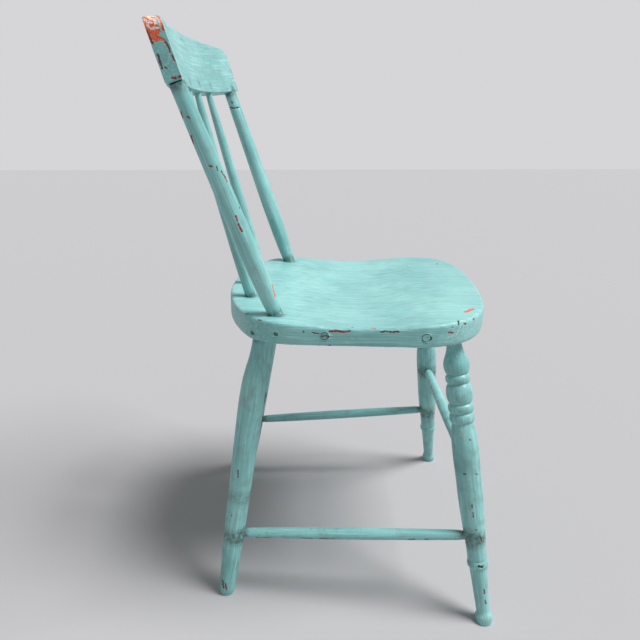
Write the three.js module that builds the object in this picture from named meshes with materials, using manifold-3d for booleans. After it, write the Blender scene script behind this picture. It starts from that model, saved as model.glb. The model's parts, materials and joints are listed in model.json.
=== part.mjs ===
// Spindle-back kitchen chair: one plank seat, turned legs, posts and spindles, a bent crest rail.
// Units are millimetres. The chair stands on z = 0 and faces -Y, and X runs across it.
// Left and right are the sitter's own: the sitter's right side is -X.

import * as THREE from 'three';
import { mergeVertices } from 'three/addons/utils/BufferGeometryUtils.js';
import Module from 'manifold-3d';

const wasm = await Module();
wasm.setup();

const RIGHT = -1;
const LEFT = 1;

// Play left all round a peg in its hole, past its end, and under a shoulder
const FIT = 0.3;

// Plank seat, hollowed for sitting between a flat ridge at the back and the front edge
const SEAT_HEIGHT = 445;
const SEAT_THICKNESS = 32;
const SEAT_WIDTH = 378;
const SEAT_FRONT = 216;
const SEAT_BACK = 163;
const SEAT_ARRIS = 4;
const DISH_DEPTH = 12;
const DISH_HALF_WIDTH = 420;
const DISH_HALF_LENGTH = 140;
const DISH_CENTRE_Y = -25;

// Years of racking have turned the seat, and all that stands on it, a little on its feet,
// and have pushed the feet a little to the sitter's left
const SEAT_TWIST = THREE.MathUtils.degToRad(-1.6);
const FEET_SHIFT = 5;

// Legs: where each one enters the seat, in from the side and from the front or back edge,
// and how far it spreads from there down to the floor
const FRONT_LEG_INSET = { side: 62, end: 58 };
const FRONT_LEG_SPREAD = { side: 90, end: 57 };
const BACK_LEG_INSET = { side: 41, end: 58 };
const BACK_LEG_SPREAD = { side: 28, end: 60 };
const LEG_DIAMETER = 36.5;
const LEG_PEG = 18;
const LEG_PEG_LENGTH = 22;

// How far a turned foot runs on below the floor line before it is cut off level
const FOOT_TRIM = 4;

// Back: two side posts and three thinner spindles, standing on an arc of the ridge
const POST_INSET = { side: 35, end: 80 };
const POST_DIAMETER = 25.5;
const POST_FOOT_PEG = 20;
const POST_TOP_PEG = 11;
const POST_TOP_SPREAD = 45;
const SPINDLE_COUNT = 3;
const SPINDLE_DIAMETER = 17;
const SPINDLE_FOOT_PEG = 15;
const SPINDLE_TOP_PEG = 9;
const SPINDLE_FOOT_PITCH = 73;
const SPINDLE_TOP_PITCH = 75;
const SPINDLE_FOOT_Y = 139;
const SPINDLE_FOOT_ARC = 211;
const FOOT_PEG_DEPTH = 26;
const TOP_PEG_DEPTH = 20;

// Crest rail: a board bent to an arc in plan and leaning back
const CREST_WIDTH = 444;
const CREST_HEIGHT = 80;
const CREST_SHOULDER = 75;
const CREST_END_HEIGHT = 58;
const CREST_CORNER = 44;
const CREST_THICKNESS = 20;
const CREST_BOW = 23;
const CREST_LEAN = THREE.MathUtils.degToRad(18);
const CREST_BOTTOM_Z = 728;
const CREST_CENTRE_Y = 209.5;
const CREST_PEGS_FORWARD = 2.5;

// Stretchers
const STRETCHER_DIAMETER = 17;
const STRETCHER_PEG = 12.5;
const STRETCHER_PEG_DEPTH = 12;
const FRONT_STRETCHER_HEIGHT = 232;
const BACK_STRETCHER_HEIGHT = 170;
const RIGHT_STRETCHER_HEIGHT = { front: 128, back: 104 };
const LEFT_STRETCHER_HEIGHT = { front: 133, back: 112 };

// Two dowels let into the seat's right edge, their ends a little below its surface
const EDGE_DOWEL_DIAMETER = 10.5;
const EDGE_DOWEL_LENGTH = 42;
const EDGE_DOWEL_SUNK = 1;
const EDGE_DOWEL_HEIGHT = 14.5;
const FRONT_DOWEL_Y = -112;
const REAR_DOWEL_Y = 17;

// Two sunk nails at the same corner: each one starts in from the side and back edges, and is
// driven level into a peg
const NAIL_HEAD = { diameter: 4.6, length: 2 };
const NAIL_SHANK = { diameter: 2.6, length: 26 };
const POST_NAIL_INSET = { side: 5.5, end: 83 };
const POST_NAIL_HEIGHT = 15;
const LEG_NAIL_INSET = { side: 23, end: 51.5 };
const LEG_NAIL_HEIGHT = 10;

// Facets round a turned piece, and steps along each curve of its profile
const LEG_FACETS = 16;
const ROD_FACETS = 16;
const NAIL_FACETS = 12;
const CURVE_STEPS = 2;

const TEAL_PAINT = { color: 0x6fb3aa, roughness: 0.5, metalness: 0 };
const PAINTED_IRON = { color: 0x5f9d96, roughness: 0.6, metalness: 0.2 };

const chair = new THREE.Group();
const UP = new THREE.Vector3(0, 1, 0);
const SEAT_UNDERSIDE = SEAT_HEIGHT - SEAT_THICKNESS;
const seatTurn = new THREE.Matrix4().makeRotationZ(SEAT_TWIST);

// Solids and meshes

function solidOf(geometry) {
  const bare = geometry.clone();
  bare.deleteAttribute('normal');
  bare.deleteAttribute('uv');
  const merged = mergeVertices(bare, 1e-4);
  const mesh = new wasm.Mesh({
    numProp: 3,
    vertProperties: new Float32Array(merged.attributes.position.array),
    triVerts: new Uint32Array(merged.index.array),
  });
  return new wasm.Manifold(mesh);
}

function geometryOf(solid) {
  const mesh = solid.getMesh();
  const geometry = new THREE.BufferGeometry();
  geometry.setAttribute('position', new THREE.BufferAttribute(mesh.vertProperties, 3));
  geometry.setIndex(new THREE.BufferAttribute(mesh.triVerts, 1));
  geometry.computeVertexNormals();
  return geometry;
}

function addMesh(name, geometry, placement = new THREE.Matrix4(), finish = TEAL_PAINT) {
  const mesh = new THREE.Mesh(geometry, new THREE.MeshStandardMaterial(finish));
  mesh.name = name;
  mesh.applyMatrix4(placement);
  chair.add(mesh);
}

// Placement of a piece made along +Y, so that its axis runs from one point towards another
function along(from, to) {
  const direction = new THREE.Vector3().subVectors(to, from).normalize();
  const turn = new THREE.Quaternion().setFromUnitVectors(UP, direction);
  return new THREE.Matrix4().compose(from, turn, new THREE.Vector3(1, 1, 1));
}

// A plain round rod along the line, reaching past both of its ends
function rod(from, to, diameter, facets, before = 0, after = 0) {
  const length = from.distanceTo(to) + before + after;
  const geometry = new THREE.CylinderGeometry(diameter / 2, diameter / 2, length, facets);
  geometry.translate(0, length / 2 - before, 0);
  return geometry.applyMatrix4(along(from, to));
}

// The hole for a peg that enters at one point and runs `depth` along the line
function socket(mouth, towards, diameter, depth, facets) {
  const end = mouth.clone().add(towards.clone().sub(mouth).setLength(depth + FIT));
  return solidOf(rod(mouth, end, diameter + 2 * FIT, facets, depth, 0));
}

// Turned profiles, as a path of radius against height

function bead(path, bottom, top, edge, widest) {
  path.lineTo(edge / 2, bottom);
  path.quadraticCurveTo(widest - edge / 2, (bottom + top) / 2, edge / 2, top);
}

function swell(path, stations) {
  path.splineThru(stations.map(([height, diameter]) => new THREE.Vector2(diameter / 2, height)));
}

function turned(path, facets) {
  return new THREE.LatheGeometry(path.getPoints(CURVE_STEPS), facets);
}

// Leg lines, from the floor to the seat's underside

function legLine(side, inset, spread, seatEdge, facing) {
  const x = SEAT_WIDTH / 2 - inset.side;
  const y = seatEdge - inset.end;
  const top = new THREE.Vector3(side * x, facing * y, SEAT_UNDERSIDE).applyMatrix4(seatTurn);
  const foot = new THREE.Vector3(side * (x + spread.side), facing * (y + spread.end), 0);
  foot.x += FEET_SHIFT;
  return { foot, top };
}

const frontLegLine = (side) => legLine(side, FRONT_LEG_INSET, FRONT_LEG_SPREAD, SEAT_FRONT, -1);
const backLegLine = (side) => legLine(side, BACK_LEG_INSET, BACK_LEG_SPREAD, SEAT_BACK, 1);

function pointAtHeight(line, height) {
  return line.foot.clone().lerp(line.top, height / SEAT_UNDERSIDE);
}

// Stretcher lines, from peg end to peg end

function stretcherLine(from, to) {
  const direction = new THREE.Vector3().subVectors(to, from).normalize();
  const set = LEG_DIAMETER / 4;
  const start = from.clone().addScaledVector(direction, set - STRETCHER_PEG_DEPTH / 2);
  const end = to.clone().addScaledVector(direction, STRETCHER_PEG_DEPTH / 2 - set);
  return { start, end };
}

const stretcherLines = {
  stretcher_front: stretcherLine(
    pointAtHeight(frontLegLine(RIGHT), FRONT_STRETCHER_HEIGHT),
    pointAtHeight(frontLegLine(LEFT), FRONT_STRETCHER_HEIGHT),
  ),
  stretcher_back: stretcherLine(
    pointAtHeight(backLegLine(RIGHT), BACK_STRETCHER_HEIGHT),
    pointAtHeight(backLegLine(LEFT), BACK_STRETCHER_HEIGHT),
  ),
  stretcher_right: stretcherLine(
    pointAtHeight(backLegLine(RIGHT), RIGHT_STRETCHER_HEIGHT.back),
    pointAtHeight(frontLegLine(RIGHT), RIGHT_STRETCHER_HEIGHT.front),
  ),
  stretcher_left: stretcherLine(
    pointAtHeight(backLegLine(LEFT), LEFT_STRETCHER_HEIGHT.back),
    pointAtHeight(frontLegLine(LEFT), LEFT_STRETCHER_HEIGHT.front),
  ),
};

// Crest rail, in a frame of its own whose origin is the middle of its bottom edge

const crestPlacement = seatTurn.clone()
  .multiply(new THREE.Matrix4().makeTranslation(0, CREST_CENTRE_Y, CREST_BOTTOM_Z))
  .multiply(new THREE.Matrix4().makeRotationX(-CREST_LEAN));
const CREST_HALF = CREST_WIDTH / 2;
const CREST_RADIUS = (CREST_HALF ** 2 + CREST_BOW ** 2) / (2 * CREST_BOW);

// How far the bend brings the crest rail forward at a distance from the middle
function crestBow(x) {
  return CREST_RADIUS - Math.sqrt(CREST_RADIUS ** 2 - x ** 2);
}

// Where a peg enters the crest rail's bottom edge, a little forward of its middle
function crestMouth(x) {
  return new THREE.Vector3(x, -crestBow(x) - CREST_PEGS_FORWARD, 0).applyMatrix4(crestPlacement);
}

// Post and spindle lines, from the seat's top to the crest rail's bottom edge

function spindleFeet() {
  const middle = (SPINDLE_COUNT - 1) / 2;
  return Array.from({ length: SPINDLE_COUNT }, (_, index) => index - middle);
}

function footOnArc(x) {
  const sag = SPINDLE_FOOT_ARC - Math.sqrt(SPINDLE_FOOT_ARC ** 2 - x ** 2);
  return new THREE.Vector3(x, SPINDLE_FOOT_Y - sag, SEAT_HEIGHT).applyMatrix4(seatTurn);
}

function postLine(side) {
  const x = SEAT_WIDTH / 2 - POST_INSET.side;
  const foot = new THREE.Vector3(side * x, SEAT_BACK - POST_INSET.end, SEAT_HEIGHT);
  foot.applyMatrix4(seatTurn);
  return { foot, top: crestMouth(side * (x + POST_TOP_SPREAD)) };
}

const postLines = { back_post_right: postLine(RIGHT), back_post_left: postLine(LEFT) };
const SPINDLE_NAMES = ['spindle_right', 'spindle_centre', 'spindle_left'];
const spindleLines = Object.fromEntries(
  spindleFeet().map((place, index) => [
    SPINDLE_NAMES[index],
    { foot: footOnArc(place * SPINDLE_FOOT_PITCH), top: crestMouth(place * SPINDLE_TOP_PITCH) },
  ]),
);

// Nail lines, from the outside of the head to the point

function nailLine(inset, height, peg) {
  const start = new THREE.Vector3(inset.side - SEAT_WIDTH / 2, SEAT_BACK - inset.end, 0);
  start.applyMatrix4(seatTurn).setZ(SEAT_UNDERSIDE + height);
  const rise = (start.z - peg.foot.z) / (peg.top.z - peg.foot.z);
  const middle = peg.foot.clone().lerp(peg.top, rise);
  const end = middle.sub(start).setLength(NAIL_SHANK.length).add(start);
  return { start, end };
}

const nailLines = {
  nail_post: nailLine(POST_NAIL_INSET, POST_NAIL_HEIGHT, postLines.back_post_right),
  nail_back_leg: nailLine(LEG_NAIL_INSET, LEG_NAIL_HEIGHT, backLegLine(RIGHT)),
};

// Dowel lines, from the outer end inwards

function dowelLine(y) {
  const height = SEAT_UNDERSIDE + EDGE_DOWEL_HEIGHT;
  const start = new THREE.Vector3(EDGE_DOWEL_SUNK - SEAT_WIDTH / 2, y, height);
  const end = start.clone().add(new THREE.Vector3(EDGE_DOWEL_LENGTH, 0, 0));
  return { start: start.applyMatrix4(seatTurn), end: end.applyMatrix4(seatTurn) };
}

const dowelLines = {
  edge_dowel_front: dowelLine(FRONT_DOWEL_Y),
  edge_dowel_rear: dowelLine(REAR_DOWEL_Y),
};

// Nails and dowels

function nailGeometry() {
  const head = NAIL_HEAD.diameter / 2;
  const shank = NAIL_SHANK.diameter / 2;
  const path = new THREE.Path();
  path.moveTo(0, 0);
  path.lineTo(head, 0.25 * NAIL_HEAD.length);
  path.lineTo(shank, NAIL_HEAD.length);
  path.lineTo(shank, NAIL_SHANK.length - NAIL_SHANK.diameter);
  path.lineTo(0, NAIL_SHANK.length);
  return turned(path, NAIL_FACETS);
}

// A nail's hole, open all the way out past the seat's edge
function nailHole({ start, end }) {
  const head = NAIL_HEAD.diameter / 2 + FIT;
  const shank = NAIL_SHANK.diameter / 2 + FIT;
  const path = new THREE.Path();
  path.moveTo(0, -NAIL_SHANK.length);
  path.lineTo(head, -NAIL_SHANK.length);
  path.lineTo(head, NAIL_HEAD.length + FIT);
  path.lineTo(shank, NAIL_HEAD.length + FIT);
  path.lineTo(shank, NAIL_SHANK.length + FIT);
  path.lineTo(0, NAIL_SHANK.length + FIT);
  return turned(path, NAIL_FACETS).applyMatrix4(along(start, end));
}

for (const [name, { start, end }] of Object.entries(nailLines)) {
  addMesh(name, nailGeometry(), along(start, end), PAINTED_IRON);
}

function dowelGeometry() {
  const radius = EDGE_DOWEL_DIAMETER / 2;
  const chamfer = 0.1 * EDGE_DOWEL_DIAMETER;
  const path = new THREE.Path();
  path.moveTo(0, 0);
  path.lineTo(radius - chamfer, 0);
  path.lineTo(radius, chamfer);
  path.lineTo(radius, EDGE_DOWEL_LENGTH - chamfer);
  path.lineTo(radius - chamfer, EDGE_DOWEL_LENGTH);
  path.lineTo(0, EDGE_DOWEL_LENGTH);
  return turned(path, ROD_FACETS);
}

for (const [name, { start, end }] of Object.entries(dowelLines)) {
  addMesh(name, dowelGeometry(), along(start, end));
}

// A stretcher swells between its pegs, which reach past the middle of each leg
function stretcherProfile(length) {
  const bare = LEG_DIAMETER / 4 + STRETCHER_PEG_DEPTH / 2 + 5 * FIT;
  const shoulder = bare + STRETCHER_PEG / 2;
  const path = new THREE.Path();
  path.moveTo(0, 0);
  path.lineTo(STRETCHER_PEG / 2, 0);
  path.lineTo(STRETCHER_PEG / 2, bare);
  path.lineTo(0.42 * STRETCHER_DIAMETER, shoulder);
  swell(path, [
    [0.25 * length, 0.95 * STRETCHER_DIAMETER],
    [0.5 * length, STRETCHER_DIAMETER],
    [0.75 * length, 0.95 * STRETCHER_DIAMETER],
    [length - shoulder, 0.84 * STRETCHER_DIAMETER],
  ]);
  path.lineTo(STRETCHER_PEG / 2, length - bare);
  path.lineTo(STRETCHER_PEG / 2, length);
  path.lineTo(0, length);
  return path;
}

// Legs

// Front leg, from the floor up: a button foot, a ring, a long swelled shaft, two rings,
// and two bulbs with a ring between them under a plain neck
function frontLegProfile(length) {
  const d = LEG_DIAMETER;
  const h = (part) => part * length;
  const path = new THREE.Path();
  path.moveTo(0, -FOOT_TRIM);
  bead(path, -FOOT_TRIM, h(0.036), 0.46 * d, 0.7 * d);
  path.lineTo(0.34 * d, h(0.2));
  bead(path, h(0.2), h(0.228), 0.7 * d, 0.83 * d);
  path.lineTo(0.378 * d, h(0.23));
  swell(path, [
    [h(0.293), 0.785 * d],
    [h(0.36), 0.88 * d],
    [h(0.43), 0.95 * d],
    [h(0.53), 0.965 * d],
    [h(0.602), d],
    [h(0.67), 0.94 * d],
    [h(0.702), 0.8 * d],
  ]);
  bead(path, h(0.706), h(0.736), 0.8 * d, 0.92 * d);
  bead(path, h(0.739), h(0.767), 0.82 * d, 0.96 * d);
  bead(path, h(0.77), h(0.835), 0.78 * d, 1.0 * d);
  bead(path, h(0.838), h(0.866), 0.78 * d, 0.92 * d);
  path.lineTo(0.4 * d, h(0.868));
  path.bezierCurveTo(0.53 * d, h(0.895), 0.46 * d, h(0.922), 0.3 * d, h(0.94));
  path.lineTo(LEG_PEG / 2, h(0.985));
  path.lineTo(LEG_PEG / 2, length + LEG_PEG_LENGTH);
  path.lineTo(0, length + LEG_PEG_LENGTH);
  return path;
}

// Back leg: plain, thickest a quarter of the way down, and rounded off at the foot
function backLegProfile(length) {
  const d = LEG_DIAMETER;
  const h = (part) => part * length;
  const path = new THREE.Path();
  path.moveTo(0, -FOOT_TRIM);
  path.lineTo(0.14 * d, -FOOT_TRIM);
  path.quadraticCurveTo(0.33 * d, -FOOT_TRIM, 0.34 * d, h(0.03));
  swell(path, [
    [h(0.12), 0.735 * d],
    [h(0.2), 0.83 * d],
    [h(0.38), 0.87 * d],
    [h(0.58), 0.95 * d],
    [h(0.73), 0.985 * d],
    [h(0.815), 0.94 * d],
    [h(0.87), 0.81 * d],
    [h(0.907), 0.62 * d],
    [h(0.95), 0.52 * d],
  ]);
  path.lineTo(LEG_PEG / 2, h(0.985));
  path.lineTo(LEG_PEG / 2, length + LEG_PEG_LENGTH);
  path.lineTo(0, length + LEG_PEG_LENGTH);
  return path;
}

for (const [name, line] of Object.entries(stretcherLines)) {
  const profile = stretcherProfile(line.start.distanceTo(line.end));
  addMesh(name, turned(profile, ROD_FACETS), along(line.start, line.end));
}

// Each leg is bored for the stretchers that enter it
function addLeg(name, line, profile, stretcherNames) {
  const placement = along(line.foot, line.top);
  const floor = new THREE.BoxGeometry(SEAT_WIDTH, SEAT_WIDTH, SEAT_HEIGHT);
  floor.translate(line.foot.x, line.foot.y, -SEAT_HEIGHT / 2);
  floor.applyMatrix4(placement.clone().invert());
  let leg = solidOf(turned(profile(line.foot.distanceTo(line.top)), LEG_FACETS));
  leg = leg.subtract(solidOf(floor));
  for (const stretcherName of stretcherNames) {
    const { start, end } = stretcherLines[stretcherName];
    const bore = rod(start, end, STRETCHER_PEG + 2 * FIT, ROD_FACETS, FIT, FIT);
    leg = leg.subtract(solidOf(bore.applyMatrix4(placement.clone().invert())));
  }
  if (name === 'back_leg_right') {
    leg = leg.subtract(solidOf(nailHole(nailLines.nail_back_leg).applyMatrix4(placement.clone().invert())));
  }
  addMesh(name, geometryOf(leg), placement);
}

addLeg('front_leg_right', frontLegLine(RIGHT), frontLegProfile, ['stretcher_front', 'stretcher_right']);
addLeg('front_leg_left', frontLegLine(LEFT), frontLegProfile, ['stretcher_front', 'stretcher_left']);
addLeg('back_leg_right', backLegLine(RIGHT), backLegProfile, ['stretcher_back', 'stretcher_right']);
addLeg('back_leg_left', backLegLine(LEFT), backLegProfile, ['stretcher_back', 'stretcher_left']);

// Crest rail

// The face of the board: a straight bottom edge, upright ends, rounded upper corners, and a
// gently arched top between them
function crestOutline() {
  const half = CREST_HALF;
  const shape = new THREE.Shape();
  shape.moveTo(-half, 0);
  shape.lineTo(half, 0);
  shape.lineTo(half, CREST_END_HEIGHT);
  shape.bezierCurveTo(
    half, CREST_END_HEIGHT + 0.65 * (CREST_SHOULDER - CREST_END_HEIGHT),
    half - 0.35 * CREST_CORNER, 0.98 * CREST_SHOULDER,
    half - CREST_CORNER, CREST_SHOULDER,
  );
  shape.quadraticCurveTo(0, 2 * CREST_HEIGHT - CREST_SHOULDER, CREST_CORNER - half, CREST_SHOULDER);
  shape.bezierCurveTo(
    0.35 * CREST_CORNER - half, 0.98 * CREST_SHOULDER,
    -half, CREST_END_HEIGHT + 0.65 * (CREST_SHOULDER - CREST_END_HEIGHT),
    -half, CREST_END_HEIGHT,
  );
  return shape;
}

// The bend in plan, as a strip of even thickness that runs on past both ends
function crestBend() {
  const reach = Math.asin((1.05 * CREST_HALF) / CREST_RADIUS);
  const middle = Math.PI / 2;
  const shape = new THREE.Shape();
  const outer = CREST_RADIUS + CREST_THICKNESS / 2;
  const inner = CREST_RADIUS - CREST_THICKNESS / 2;
  shape.absarc(0, -CREST_RADIUS, outer, middle - reach, middle + reach, false);
  shape.absarc(0, -CREST_RADIUS, inner, middle + reach, middle - reach, true);
  return shape;
}

function crestRail() {
  const depth = 4 * CREST_BOW + 2 * CREST_THICKNESS;
  const face = new THREE.ExtrudeGeometry(crestOutline(), { depth, bevelEnabled: false, curveSegments: 8 });
  face.rotateX(Math.PI / 2);
  face.translate(0, depth / 2, 0);
  const bend = new THREE.ExtrudeGeometry(crestBend(), {
    depth: 1.2 * CREST_HEIGHT,
    bevelEnabled: false,
    curveSegments: 24,
  });
  bend.translate(0, 0, -0.1 * CREST_HEIGHT);
  return solidOf(face).intersect(solidOf(bend));
}

// Posts and spindles

function postProfile(length) {
  const d = POST_DIAMETER;
  const path = new THREE.Path();
  path.moveTo(0, -FOOT_PEG_DEPTH);
  path.lineTo(POST_FOOT_PEG / 2, -FOOT_PEG_DEPTH);
  swell(path, [
    [0.022 * length, POST_FOOT_PEG],
    [0.12 * length, 0.92 * d],
    [0.32 * length, d],
    [0.6 * length, 0.92 * d],
    [0.85 * length, 0.83 * d],
    [1.03 * length, 0.76 * d],
  ]);
  path.lineTo(0, 1.03 * length);
  return path;
}

function spindleProfile(length) {
  const d = SPINDLE_DIAMETER;
  const path = new THREE.Path();
  path.moveTo(0, -FOOT_PEG_DEPTH);
  path.lineTo(SPINDLE_FOOT_PEG / 2, -FOOT_PEG_DEPTH);
  swell(path, [
    [0.02 * length, SPINDLE_FOOT_PEG],
    [0.12 * length, d],
    [0.4 * length, 0.95 * d],
    [0.75 * length, 0.78 * d],
    [0.985 * length, SPINDLE_TOP_PEG],
  ]);
  path.lineTo(SPINDLE_TOP_PEG / 2, length + TOP_PEG_DEPTH);
  path.lineTo(0, length + TOP_PEG_DEPTH);
  return path;
}

// A post's top is cut square to the crest rail's bottom edge, and only its peg goes on
function post(line) {
  const length = line.foot.distanceTo(line.top);
  const toPost = along(line.foot, line.top).invert();
  const above = new THREE.BoxGeometry(CREST_WIDTH, CREST_WIDTH, CREST_HEIGHT);
  above.translate(0, 0, CREST_HEIGHT / 2 - FIT);
  above.applyMatrix4(crestPlacement).applyMatrix4(toPost);
  const peg = new THREE.CylinderGeometry(POST_TOP_PEG / 2, POST_TOP_PEG / 2, 2 * TOP_PEG_DEPTH, ROD_FACETS);
  peg.translate(0, length, 0);
  return solidOf(turned(postProfile(length), ROD_FACETS)).subtract(solidOf(above)).add(solidOf(peg));
}

for (const [name, line] of Object.entries(postLines)) {
  const placement = along(line.foot, line.top);
  let solid = post(line);
  if (name === 'back_post_right') {
    solid = solid.subtract(solidOf(nailHole(nailLines.nail_post).applyMatrix4(placement.clone().invert())));
  }
  addMesh(name, geometryOf(solid), placement);
}
for (const [name, line] of Object.entries(spindleLines)) {
  const profile = spindleProfile(line.foot.distanceTo(line.top));
  addMesh(name, turned(profile, ROD_FACETS), along(line.foot, line.top));
}

let crest = crestRail();
const toCrest = crestPlacement.clone().invert();
for (const [lines, diameter] of [[postLines, POST_TOP_PEG], [spindleLines, SPINDLE_TOP_PEG]]) {
  for (const { foot, top } of Object.values(lines)) {
    const onward = top.clone().multiplyScalar(2).sub(foot).applyMatrix4(toCrest);
    const mouth = top.clone().applyMatrix4(toCrest);
    crest = crest.subtract(socket(mouth, onward, diameter, TOP_PEG_DEPTH, ROD_FACETS));
  }
}
addMesh('crest_rail', geometryOf(crest), crestPlacement);

// Seat

// The plank's outline, from the middle of its back edge round by the right side.
// The right front corner is rounder than the left one.
function seatOutline() {
  const w = SEAT_WIDTH / 2;
  const f = -SEAT_FRONT;
  const b = SEAT_BACK;
  const shape = new THREE.Shape();
  shape.moveTo(0, b);
  shape.bezierCurveTo(-0.35 * w, b, -0.64 * w, 0.9 * b, -0.87 * w, 0.73 * b);
  shape.bezierCurveTo(-0.97 * w, 0.63 * b, -w, 0.48 * b, -w, 0.25 * b);
  shape.lineTo(-w, 0.44 * f);
  shape.bezierCurveTo(-w, 0.67 * f, -0.88 * w, 0.8 * f, -0.72 * w, 0.875 * f);
  shape.bezierCurveTo(-0.55 * w, 0.96 * f, -0.3 * w, 0.985 * f, 0, f);
  shape.bezierCurveTo(0.35 * w, 1.01 * f, 0.6 * w, 0.99 * f, 0.8 * w, 0.95 * f);
  shape.bezierCurveTo(0.98 * w, 0.9 * f, 1.05 * w, 0.8 * f, 1.045 * w, 0.66 * f);
  shape.bezierCurveTo(1.04 * w, 0.5 * f, w, 0.3 * f, w, 0);
  shape.lineTo(w, 0.25 * b);
  shape.bezierCurveTo(w, 0.48 * b, 0.97 * w, 0.63 * b, 0.87 * w, 0.73 * b);
  shape.bezierCurveTo(0.64 * w, 0.9 * b, 0.35 * w, b, 0, b);
  return shape;
}

// The hollow: deepest in the middle, dying away smoothly towards its oval rim
function dish() {
  const steps = 10;
  const profile = [new THREE.Vector2(0, -DISH_DEPTH)];
  for (let step = 1; step <= steps; step += 1) {
    const out = step / steps;
    profile.push(new THREE.Vector2(out, (-DISH_DEPTH * (1 + Math.cos(Math.PI * out))) / 2));
  }
  profile.push(new THREE.Vector2(1, DISH_DEPTH));
  profile.push(new THREE.Vector2(0, DISH_DEPTH));
  const geometry = new THREE.LatheGeometry(profile, 40);
  geometry.rotateX(Math.PI / 2);
  geometry.scale(DISH_HALF_WIDTH, DISH_HALF_LENGTH, 1);
  geometry.translate(0, DISH_CENTRE_Y, SEAT_HEIGHT).applyMatrix4(seatTurn);
  return solidOf(geometry);
}

function plank() {
  const geometry = new THREE.ExtrudeGeometry(seatOutline(), {
    depth: SEAT_THICKNESS - 2 * SEAT_ARRIS,
    bevelThickness: SEAT_ARRIS,
    bevelSize: SEAT_ARRIS,
    bevelOffset: -SEAT_ARRIS,
    bevelSegments: 2,
    curveSegments: 7,
  });
  geometry.translate(0, 0, SEAT_UNDERSIDE + SEAT_ARRIS).applyMatrix4(seatTurn);
  return solidOf(geometry);
}

let seat = plank().subtract(dish());
for (const side of [RIGHT, LEFT]) {
  for (const { foot, top } of [frontLegLine(side), backLegLine(side)]) {
    const onward = top.clone().multiplyScalar(2).sub(foot);
    seat = seat.subtract(socket(top, onward, LEG_PEG, LEG_PEG_LENGTH, ROD_FACETS));
  }
}
for (const [lines, diameter] of [[postLines, POST_FOOT_PEG], [spindleLines, SPINDLE_FOOT_PEG]]) {
  for (const { foot, top } of Object.values(lines)) {
    const onward = foot.clone().multiplyScalar(2).sub(top);
    seat = seat.subtract(socket(foot, onward, diameter, FOOT_PEG_DEPTH, ROD_FACETS));
  }
}
for (const { start, end } of Object.values(dowelLines)) {
  seat = seat.subtract(socket(start, end, EDGE_DOWEL_DIAMETER, EDGE_DOWEL_LENGTH, ROD_FACETS));
}
for (const line of Object.values(nailLines)) {
  seat = seat.subtract(solidOf(nailHole(line)));
}
addMesh('seat', geometryOf(seat));

// Stand the chair on the origin, under the middle of its box
const box = new THREE.Box3().setFromObject(chair, true);
const middle = box.getCenter(new THREE.Vector3());
chair.position.set(-middle.x, -middle.y, -box.min.z);
chair.updateMatrixWorld(true);

export default chair;
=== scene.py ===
# %% [markdown]
# # A kitchen chair with peeling paint
#
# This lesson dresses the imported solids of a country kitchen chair. Each turned leg, post and
# spindle is shaped as it would be on a lathe, the seat and the top rail are shaped as boards,
# and then every piece gets the same old teal paint, chipped down to an orange-red coat.
# Distances are written in millimetres and turned into metres where Blender needs them.

import json
import math
import random

import bpy
import numpy as np
from mathutils import Euler, Matrix, Vector, noise


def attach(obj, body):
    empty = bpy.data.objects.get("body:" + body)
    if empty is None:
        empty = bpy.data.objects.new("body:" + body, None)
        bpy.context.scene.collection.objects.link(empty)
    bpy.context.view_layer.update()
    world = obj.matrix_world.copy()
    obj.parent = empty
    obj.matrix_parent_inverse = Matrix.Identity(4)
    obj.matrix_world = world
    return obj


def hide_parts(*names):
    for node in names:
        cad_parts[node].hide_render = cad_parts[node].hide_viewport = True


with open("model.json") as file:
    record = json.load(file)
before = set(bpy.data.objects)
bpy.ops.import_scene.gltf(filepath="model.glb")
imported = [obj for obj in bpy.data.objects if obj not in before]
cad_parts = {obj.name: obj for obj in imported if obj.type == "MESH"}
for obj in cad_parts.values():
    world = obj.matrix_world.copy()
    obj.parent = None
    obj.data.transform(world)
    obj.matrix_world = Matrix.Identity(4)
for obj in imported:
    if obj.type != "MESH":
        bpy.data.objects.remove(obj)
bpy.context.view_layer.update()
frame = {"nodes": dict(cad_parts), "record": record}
MM = 0.001
print("packed pieces:", len(frame["nodes"]))

# %% [markdown]
# ## Where things are
#
# The chair stands on the floor, faces -Y and has its right side on -X. Over the years its
# seat and back have turned by 1.6 degrees on the feet, so the seat and the top rail are made
# square and are then turned together. Every round piece runs along a straight line, which is
# written as two points in millimetres.

# %% Main sizes and lines
SEAT_TOP = 445.0
SEAT_THICKNESS = 32.0
CHAIR_MIDDLE = Vector((-4.8, -8.6, 0.0))
RACK = math.radians(-1.6)

LEG_LINES = {
    "front_leg_right": ((-216.8, -223.6, 0.0), (-136.1, -162.9, 413.0)),
    "front_leg_left": ((217.2, -223.6, 0.0), (117.7, -170.1, 413.0)),
    "back_leg_right": ((-175.8, 156.4, 0.0), (-149.8, 100.5, 413.0)),
    "back_leg_left": ((176.2, 156.4, 0.0), (146.1, 92.2, 413.0)),
}
STRETCHER_LINES = {
    "stretcher_front": ((-168.4, -189.6, 232.0), (158.2, -193.5, 232.0)),
    "stretcher_back": ((-162.0, 133.3, 170.0), (160.7, 130.0, 170.0)),
    "stretcher_right": ((-169.4, 139.2, 104.2), (-191.6, -201.7, 127.8)),
    "stretcher_left": ((168.2, 135.9, 112.2), (185.0, -203.3, 132.8)),
}
POST_LINES = {
    "back_post_right": ((-156.4, 78.7, 445.0), (-198.5, 186.5, 734.5)),
    "back_post_left": ((151.5, 70.1, 445.0), (199.5, 175.4, 734.5)),
}
SPINDLE_LINES = {
    "spindle_right": ((-74.2, 119.4, 445.0), (-74.0, 200.9, 739.7)),
    "spindle_centre": ((-0.9, 130.3, 445.0), (1.0, 201.0, 739.7)),
    "spindle_left": ((71.7, 115.3, 445.0), (76.0, 196.7, 739.7)),
}


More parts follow.
